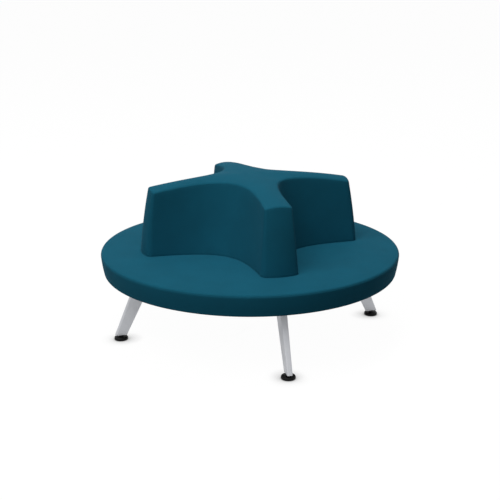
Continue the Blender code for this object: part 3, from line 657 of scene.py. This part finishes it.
def backRings():
    wall = back["rim"] - back["foot"]
    under = [Vector(point[:2]) for point in backRow(0, back["footEdge"])]
    rings = []
    for share in (1.0, 0.5):
        inner = [point.lerp(armLine(point), share) for point in under]
        rings.append([(p.x, p.y, back["foot"]) for p in inner])
    edge = back["footEdge"]
    for angle in quarterTurn(back["footSteps"]):
        rings.append(backRow(edge * (1 - math.cos(angle)) / wall, edge * (1 - math.sin(angle))))
    low = back["footEdge"] / wall
    high = 1 - back["topEdge"] / wall
    for step in range(1, back["wallRows"]):
        rings.append(backRow(between(low, high, step / back["wallRows"]), 0))
    seamRow = len(rings)        # the top panel is sewn on where the rounding starts
    edge = back["topEdge"]
    for angle in quarterTurn(back["edgeSteps"]):
        rings.append(backRow(1 - edge * (1 - math.sin(angle)) / wall, edge * (1 - math.cos(angle))))
    rim = [Vector(point[:2]) for point in rings[-1]]
    for step in range(1, back["capRows"] + 1):
        inner = [point.lerp(armLine(point), step / back["capRows"]) for point in rim]
        rings.append([(p.x, p.y, topHeight(p.x, p.y) - upholstery["shrink"]) for p in inner])
    return rings, seamRow


def buildBack():
    rings, seamRow = backRings()
    piece = growRings("backUpholstery", rings, back["weld"])
    count = len(rings[0])
    flat = {}
    for row, ring in enumerate(rings):
        for column, point in enumerate(ring):
            flat[tuple(round(c, 5) for c in point)] = (row, column)
    middle = rings[len(rings) // 2]
    around = [0.0]
    for column in range(count):
        around.append(around[-1] + math.dist(middle[column], middle[(column + 1) % count]))
    upward = [0.0]
    for first, last in zip(rings, rings[1:]):
        upward.append(upward[-1] + math.dist(first[0], last[0]))
    closing = 5 * count // 4 % count    # the walls are closed by one seam, on the rear arm's end
    rowColumn, distances, held = {}, [], []
    for vertex in piece.data.vertices:
        spot = flat.get(tuple(round(c, 5) for c in vertex.co))
        if spot is None:
            spot = min(flat.values(), key=lambda s: (Vector(rings[s[0]][s[1]]) - vertex.co).length)
        rowColumn[vertex.index] = spot
        row, column = spot
        distance = abs(upward[row] - upward[seamRow])
        if row <= seamRow:
            distance = min(distance, abs(around[column] - around[closing]))
        distances.append(distance)
        if row < back["heldRows"] or 0 <= row - seamRow <= back["edgeSteps"]:
            held.append(vertex.index)

    def clothPlace(face, vertex):
        row, column = rowColumn[vertex]
        if all(rowColumn[v][0] >= seamRow for v in face.vertices):
            return piece.data.vertices[vertex].co.x, piece.data.vertices[vertex].co.y
        columns = [rowColumn[v][1] for v in face.vertices]
        if column == 0 and max(columns) > count // 2:
            column = count
        return around[column], upward[row]

    storeClothMap(piece, clothPlace, distances)
    inflate(piece, held)
    dress(piece, woolMaterial, 60)
    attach(piece, "sofa")
    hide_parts("back_cover", "back_foam")
    return piece


seatPiece = buildSeat()
print("seat upholstered:", len(seatPiece.data.polygons), "faces")
backPiece = buildBack()
print("back upholstered:", len(backPiece.data.polygons), "faces")


# The legs: one is modelled and turned to the four sides.

leg = {
    "sole": 0.0235, "flangeBottom": 0.3392, "flangeTop": 0.3452,
    "footPlace": 0.7011, "topPlace": 0.5576,    # from the centre to the leg's middle
    "footLength": 0.0604, "footWidth": 0.0280, "topLength": 0.0876, "topWidth": 0.0362,
    "corner": 0.007, "soleEdge": 0.004, "fillet": 0.012,
    "flangePlace": 0.545, "flangeLength": 0.164, "flangeWidth": 0.104, "flangeCorner": 0.016,
    "flangeEdge": 0.001, "screwEdge": 0.015,
    "stemPlace": 0.700, "boreRadius": 0.0053, "boreTop": 0.0663,
    "sinkFoot": 0.0060, "sinkTop": 0.0026, "sinkDepth": 0.0040, "sinkLift": 0.0012,     # for the screws' heads
    "holeRadius": 0.0028, "holeDepth": 0.02,
    "soleSteps": 5, "filletSteps": 7, "cornerSteps": 7, "boreSides": 32, "holeSides": 24,
}


def roundedSection(middle, length, width, corner, height):
    points = []
    for sideX, sideY, start in ((1, 1, 0), (-1, 1, 90), (-1, -1, 180), (1, -1, 270)):
        centre = (middle + sideX * (length / 2 - corner), sideY * (width / 2 - corner))
        points += [(x, y, height) for x, y in arcPoints(centre, corner, start, start + 90, leg["cornerSteps"])]
    return points


def legSection(height, grow):
    share = (height - leg["sole"]) / (leg["flangeBottom"] - leg["sole"])
    place, length, width = [between(leg["foot" + size], leg["top" + size], share)
                            for size in ("Place", "Length", "Width")]
    return roundedSection(place, length + 2 * grow, width + 2 * grow, leg["corner"] + grow, height)


def flangeSection(height, inset):
    return roundedSection(leg["flangePlace"], leg["flangeLength"] - 2 * inset, leg["flangeWidth"] - 2 * inset,
                          leg["flangeCorner"] - inset, height)


def screwPlaces():
    along = leg["flangeLength"] / 2 - leg["screwEdge"]
    across = leg["flangeWidth"] / 2 - leg["screwEdge"]
    return [(leg["flangePlace"] + x * along, y * across) for x in (1, -1) for y in (1, -1)]


def buildLeg():
    rings = []
    edge, fillet = leg["soleEdge"], leg["fillet"]
    for angle in quarterTurn(leg["soleSteps"]):
        rings.append(legSection(leg["sole"] + edge * (1 - math.cos(angle)), -edge * (1 - math.sin(angle))))
    start = leg["flangeBottom"] - fillet
    rings += [legSection(between(leg["sole"] + edge, start, share), 0) for share in (0.25, 0.5, 0.75)]
    for angle in quarterTurn(leg["filletSteps"]):
        rings.append(legSection(leg["flangeBottom"] - fillet * (1 - math.sin(angle)),
                                fillet * (1 - math.cos(angle))))
    rings.append(flangeSection(leg["flangeBottom"], leg["flangeEdge"]))
    rings.append(flangeSection(leg["flangeBottom"] + leg["flangeEdge"], 0))
    rings.append(flangeSection(leg["flangeTop"], 0))
    piece = growRings("legFront", rings)
    deselectAll()
    depth = leg["boreTop"]
    bpy.ops.mesh.primitive_cylinder_add(
        vertices=leg["boreSides"], radius=leg["boreRadius"], depth=depth,
        location=(leg["stemPlace"], 0, depth / 2))
    cutAway(piece)
    for x, y in screwPlaces():      # countersunk holes through the flange
        bpy.ops.mesh.primitive_cone_add(
            vertices=leg["holeSides"], radius1=leg["sinkFoot"], radius2=leg["sinkTop"], depth=leg["sinkDepth"],
            location=(x, y, leg["flangeBottom"] + leg["sinkLift"]))
        cutAway(piece)
        bpy.ops.mesh.primitive_cylinder_add(
            vertices=leg["holeSides"], radius=leg["holeRadius"], depth=leg["holeDepth"],
            location=(x, y, leg["flangeTop"]))
        cutAway(piece)
    dress(piece, aluminiumMaterial, 35)
    return piece


# The legs' screws: countersunk heads with a six-sided recess.

screw = {"headRadius": 0.0050, "radius": 0.0025, "coreShare": 0.72, "headHeight": 0.0028, "length": 0.024,
         "tip": 0.004, "edge": 0.0003, "plain": 0.002, "turns": 9, "steps": 20,
         "recess": 0.0019, "recessDepth": 0.0017}


def buildScrew():
    low = leg["flangeBottom"] + screw["edge"]
    neck = low + screw["headHeight"]
    top = low + screw["length"]
    core = screw["radius"] * screw["coreShare"]
    profile = [(0.0, low), (screw["headRadius"] - screw["edge"], low),
               (screw["headRadius"], low + screw["edge"]), (screw["radius"], neck)]
    pitch = (top - screw["tip"] - neck - screw["plain"]) / screw["turns"]
    for turn in range(screw["turns"]):      # the thread as rings
        height = between(neck + screw["plain"], top - screw["tip"], turn / screw["turns"])
        profile += [(core, height), (screw["radius"], height + pitch * 0.5)]
    profile += [(core, top - screw["tip"]), (0.0, top)]
    piece = spinProfile("legScrew", profile, screw["steps"])
    deselectAll()
    bpy.ops.mesh.primitive_cylinder_add(
        vertices=6, radius=screw["recess"], depth=2 * screw["recessDepth"], location=(0, 0, low))
    cutAway(piece)
    dress(piece, steelMaterial, 35)
    return piece


# The glides: a black disc on a threaded stem.

glide = {
    "place": 0.700, "radius": 0.0360, "height": 0.0160, "soleShare": 0.88, "topShare": 0.85,
    "waistShare": 0.38, "soleEdge": 0.001, "curveSteps": 8,
    "hubRadius": 0.0120, "hubFoot": 0.002, "hubEdge": 0.001, "top": 0.0232, "floor": 0.006, "clearance": 0.0003,
    "stemRadius": 0.005, "stemLength": 0.058, "pitch": 0.0015, "threadShare": 0.45,
    "lowChamfer": 0.0004, "highChamfer": 0.0008, "lowShare": 0.6, "highShare": 0.7,     # the stem's two ends
    "hubFootSteps": 4, "hubEdgeSteps": 3, "footSteps": 64, "rowsPerTurn": 5, "stemSteps": 24,
}


def buildGlideFoot():
    waist = glide["height"] * glide["waistShare"]
    sole = glide["radius"] * glide["soleShare"]
    crown = glide["radius"] * glide["topShare"]
    hole = glide["stemRadius"] + glide["clearance"]
    profile = [(0.0, 0.0), (sole - glide["soleEdge"], 0.0)]
    for angle in quarterTurn(glide["curveSteps"]):      # both slopes are full curves that meet at the waist
        profile.append((sole + (glide["radius"] - sole) * math.sin(angle), waist * (1 - math.cos(angle))))
    for angle in quarterTurn(glide["curveSteps"], 1):
        profile.append((crown + (glide["radius"] - crown) * math.cos(angle),
                        waist + (glide["height"] - waist) * math.sin(angle)))
    hub, top, foot, edge = glide["hubRadius"], glide["top"], glide["hubFoot"], glide["hubEdge"]
    profile += arcPoints((hub + foot, glide["height"] + foot), foot, 270, 180, glide["hubFootSteps"])
    profile += arcPoints((hub - edge, top - edge), edge, 0, 90, glide["hubEdgeSteps"])
    profile += [(hole, top), (hole, glide["floor"]), (0.0, glide["floor"])]
    piece = spinProfile("glideFootFront", profile, glide["footSteps"])
    dress(piece, polymerMaterial, 40)
    return piece


def buildGlideStem():
    # the thread's crest climbs one pitch for each turn
    low = glide["floor"] + glide["clearance"]
    high = low + glide["stemLength"]
    around = glide["stemSteps"]
    depth = glide["pitch"] * glide["threadShare"]
    rows = int(glide["stemLength"] / glide["pitch"] * glide["rowsPerTurn"])
    start, end = low + glide["lowChamfer"], high - glide["highChamfer"]
    thread = [(between(start, end, row / rows), None) for row in range(rows + 1)]
    rings = []
    for height, endShare in [(low, glide["lowShare"])] + thread + [(high, glide["highShare"])]:
        ring = []
        for i in range(around):
            turnShare = (height / glide["pitch"] - i / around) % 1
            radius = glide["stemRadius"] - depth * abs(2 * turnShare - 1)
            if endShare:
                radius = endShare * glide["stemRadius"]
            angle = math.tau * i / around
            ring.append((radius * math.cos(angle), radius * math.sin(angle), height))
        rings.append(ring)
    piece = growRings("glideStemFront", rings)
    dress(piece, steelMaterial, 30)
    return piece


legModel, screwModel = buildLeg(), buildScrew()
footModel, stemModel = buildGlideFoot(), buildGlideStem()
for side in sides:
    word = side.capitalize()
    standing = copyTo(legModel, "leg" + word, turned(side))
    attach(standing, "sofa")
    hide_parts("leg_" + side)
    for number, (x, y) in enumerate(screwPlaces(), 1):
        fixing = copyTo(screwModel, f"legScrew{word}{number}", turned(side) @ Matrix.Translation((x, y, 0)))
        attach(fixing, "sofa")
        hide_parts(f"leg_screw_{side}_{number}")
    spot = turned(side) @ Matrix.Translation((glide["place"], 0, 0))
    for model, name, node, finish in ((footModel, "glideFoot", "glide_foot_", "black_plastic"),
                                      (stemModel, "glideStem", "glide_stem_", "zinc")):
        resting = copyTo(model, name + word, spot)
        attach(resting, "glide_" + side)
        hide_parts(node + side)
for model in (legModel, screwModel, footModel, stemModel):
    bpy.data.objects.remove(model, do_unlink=True)
print("legs, screws and glides placed")


# The cloth under the seat, and the staples that hold it.

under = {
    "high": 0.3465, "lapTop": 0.3442, "thickness": 0.0008,
    "flatRadius": 0.713, "hemRadius": 0.721, "hemStep": 0.0003, "rim": 0.747,
    "sag": 0.0012, "sagFrom": 0.1, "sagRise": 0.06,     # metres from a flange's middle, and to its full depth
    "rings": 24, "steps": 128,
}
staple = {"count": 72, "place": 0.735, "crown": 0.0102, "wire": 0.0011, "gauge": 0.0006, "leg": 0.004,
          "rounding": 0.00015, "wobble": 0.06, "wobbleTurn": 2.399}     # none is quite square to the rim


def sagAt(x, y):
    # The cloth hangs a little between the flanges and the rim, which hold it up.
    radius = math.hypot(x, y)
    free = min(max((under["flatRadius"] - radius) / under["sagRise"], 0), 1)
    for degrees in sides.values():
        angle = math.radians(degrees)
        away = math.dist((x, y), (leg["flangePlace"] * math.cos(angle), leg["flangePlace"] * math.sin(angle)))
        free = min(free, min(max((away - under["sagFrom"]) / under["sagRise"], 0), 1))
    # two slow waves that cross, and a finer one over them
    ripple = 0.55 + 0.25 * math.cos(9.0 * x + 2.0) * math.cos(11.0 * y) + 0.2 * math.cos(17.0 * (x - y))
    return under["sag"] * ripple * free


def buildUnderCloth():
    rings = under["rings"]
    profile = [(under["flatRadius"] * step / rings, under["high"]) for step in range(rings + 1)]
    hem, rim = under["hemRadius"], under["rim"]
    for radius in (hem - under["hemStep"], between(hem, rim, 0.5), rim):
        profile.append((radius, under["lapTop"]))
    piece = spinProfile("underCloth", profile, under["steps"])
    for vertex in piece.data.vertices:
        vertex.co.z -= sagAt(vertex.co.x, vertex.co.y)
    mergeAndTurnOut(piece)
    upward = piece.data.polygons[0].normal.z > 0
    thick = piece.modifiers.new("thickness", "SOLIDIFY")
    thick.thickness = under["thickness"]
    thick.offset = -1 if upward else 1
    bpy.ops.object.modifier_apply(modifier=thick.name)
    dress(piece, spunbondMaterial, 40)
    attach(piece, "sofa")
    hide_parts("dust_cover")
    return piece


def buildStaples():
    # one staple: a flat crown under the cloth and two legs going up into the board
    low = under["lapTop"] - under["thickness"] - staple["gauge"]
    corner = staple["crown"] / 2 - staple["wire"]
    deselectAll()
    bpy.ops.mesh.primitive_cube_add(
        size=1, location=(staple["place"], 0, low + staple["gauge"] / 2),
        scale=(staple["wire"], staple["crown"], staple["gauge"]))
    model = bpy.context.object
    pick(model)
    bpy.ops.object.transform_apply(location=True, rotation=True, scale=True)
    bpy.ops.object.mode_set(mode="EDIT")
    for cut in (corner, -corner):
        bpy.ops.mesh.select_all(action="SELECT")
        bpy.ops.mesh.bisect(plane_co=(0, cut, 0), plane_no=(0, 1, 0))
    bpy.ops.mesh.select_all(action="DESELECT")
    mesh = bmesh.from_edit_mesh(model.data)
    for face in mesh.faces:
        face.select = face.normal.z > 0.5 and abs(face.calc_center_median().y) > corner
    bmesh.update_edit_mesh(model.data)
    bpy.ops.mesh.extrude_region_move(TRANSFORM_OT_translate={"value": (0, 0, staple["leg"])})
    bpy.ops.object.mode_set(mode="OBJECT")
    rounding = model.modifiers.new("rounding", "BEVEL")
    rounding.width = staple["rounding"]
    rounding.segments = 1
    rounding.limit_method = "ANGLE"
    pick(model)
    bpy.ops.object.modifier_apply(modifier=rounding.name)
    middle = Matrix.Translation((staple["place"], 0, 0))
    copies = []
    for number in range(staple["count"]):
        wobble = Matrix.Rotation(staple["wobble"] * math.sin(number * staple["wobbleTurn"]), 4, "Z")
        turn = Matrix.Rotation(math.tau * (number + 0.5) / staple["count"], 4, "Z")
        copies.append(copyTo(model, "staple", turn @ middle @ wobble @ middle.inverted()))
    bpy.data.objects.remove(model, do_unlink=True)
    deselectAll()
    for copy in copies:
        copy.select_set(True)
    bpy.context.view_layer.objects.active = copies[0]
    bpy.ops.object.join()
    piece = bpy.context.object
    piece.name = "underStaples"
    piece.data.materials.append(steelMaterial)
    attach(piece, "sofa")
    return piece


buildUnderCloth()
buildStaples()
print("cloth and staples under the seat made")


# Materials on the CAD nodes that stay: the frame inside.

for name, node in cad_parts.items():
    if name in ("seat_board", "back_base", "back_upright_x", "back_upright_y"):
        node.material_slots[0].material = plywoodMaterial
    elif name.startswith(("back_bolt", "barrel_nut")):
        node.material_slots[0].material = steelMaterial


# Floor, light and camera.

stage = {
    "floorSize": 400.0, "pale": 0.95,
    "floorShare": 0.95, "floorGlow": 1.03,      # how much of the floor's white is its own
    # the painted shadow round the feet: its reach, level, steepness and samples
    "contactReach": 0.09, "contactLevel": 0.975, "contactPower": 1.5, "contactSamples": 16,     # round the feet
    "bounce": "#6B6D70", "worldLight": 0.03, "worldTint": (0.96, 0.98, 1.0, 1),
    "aim": 0.4, "lampDistance": 10.0,
}
softboxes = {       # watts, side in metres, then degrees round from +X and up from the floor
    "overheadSoftbox": (315, 2.5, 0, 90),
    "keySoftbox": (450, 7.0, -150, 50),
    "fillSoftbox": (155, 7.0, -105, 50),
    "rearSoftbox": (80, 7.0, 80, 60),
}
view = {"lens": 70.09, "sensor": 36, "place": (-1.2864, -4.7642, 1.9456), "downward": 0.2975, "turn": -15.11}


def seenDirectly(tree):
    # one for what the camera sees straight on or mirrored in something shiny, nought for other light
    seen = addNode(tree, "LightPath")
    return addNode(tree, "Math", {
        "operation": "MAXIMUM", 0: seen.outputs["Is Camera Ray"], 1: seen.outputs["Is Glossy Ray"]})


def buildFloor():
    deselectAll()
    bpy.ops.mesh.primitive_plane_add(size=stage["floorSize"], location=(0, 0, 0))
    floor = bpy.context.object
    floor.name = "floor"
    # A matt white studio floor, lit nearly to its limit and mostly glowing white where the camera sees it: the
    # sofa's real shadow stays faint, and close round the feet a painted shadow, darkened by ambient occlusion,
    # shows clearly.
    material = bpy.data.materials.new("studioFloor_matt")
    material.use_nodes = True
    tree = material.node_tree
    tree.nodes.remove(tree.nodes["Principled BSDF"])
    pale = addNode(tree, "BsdfDiffuse", {"Color": (stage["pale"], stage["pale"], stage["pale"], 1)})
    # painted shadow: ambient occlusion near the feet darkens the floor's glow
    near = addNode(tree, "AmbientOcclusion", {
        "samples": stage["contactSamples"], "Distance": stage["contactReach"]})
    lit = addNode(tree, "MapRange", {"From Max": stage["contactLevel"], "Value": near.outputs["AO"]})
    paintedShadow = addNode(tree, "Math", {"operation": "POWER", 0: lit, 1: stage["contactPower"]})
    level = addNode(tree, "Math", {"operation": "MULTIPLY", 0: paintedShadow, 1: stage["floorGlow"]})
    glow = addNode(tree, "Emission", {"Strength": level})
    shown = addNode(tree, "MixShader", {0: stage["floorShare"], 1: pale, 2: glow})
    dull = addNode(tree, "BsdfDiffuse", {"Color": stage["bounce"]})
    both = addNode(tree, "MixShader", {0: seenDirectly(tree), 1: dull, 2: shown})
    setNode(tree, tree.nodes["Material Output"], {"Surface": both})
    floor.data.materials.append(material)


def buildWorld():
    # It is seen white, and lights the sofa only weakly.
    world = bpy.data.worlds.new("studio")
    bpy.context.scene.world = world
    world.use_nodes = True
    tree = world.node_tree
    light = tree.nodes["Background"]
    setNode(tree, light, {"Color": stage["worldTint"], "Strength": stage["worldLight"]})
    white = addNode(tree, "Background", {"Color": (1, 1, 1, 1)})
    both = addNode(tree, "MixShader", {0: seenDirectly(tree), 1: light, 2: white})
    setNode(tree, tree.nodes["World Output"], {"Surface": both})


def buildLights():
    middle = Vector((0, 0, stage["aim"]))
    for name, (power, side, azimuth, height) in softboxes.items():
        lamp = bpy.data.lights.new(name, "AREA")
        lamp.shape = "SQUARE"
        lamp.size = side
        lamp.energy = power
        softbox = bpy.data.objects.new(name, lamp)
        turn = Matrix.Rotation(math.radians(azimuth), 4, "Z") @ Matrix.Rotation(math.radians(-height), 4, "Y")
        softbox.location = middle + turn @ Vector((stage["lampDistance"], 0, 0))
        softbox.rotation_euler = (middle - softbox.location).to_track_quat("-Z", "Y").to_euler()
        bpy.context.scene.collection.objects.link(softbox)


def buildCamera():
    lens = bpy.data.cameras.new("camera")
    lens.lens = view["lens"]
    lens.sensor_width = view["sensor"]
    camera = bpy.data.objects.new("camera", lens)
    camera.location = view["place"]
    camera.rotation_euler = (math.pi / 2 - view["downward"], 0, math.radians(view["turn"]))
    bpy.context.scene.collection.objects.link(camera)
    bpy.context.scene.camera = camera


buildFloor()
buildWorld()
buildLights()
buildCamera()
bpy.context.scene.view_settings.view_transform = "Standard"
deselectAll()
print("stage set")
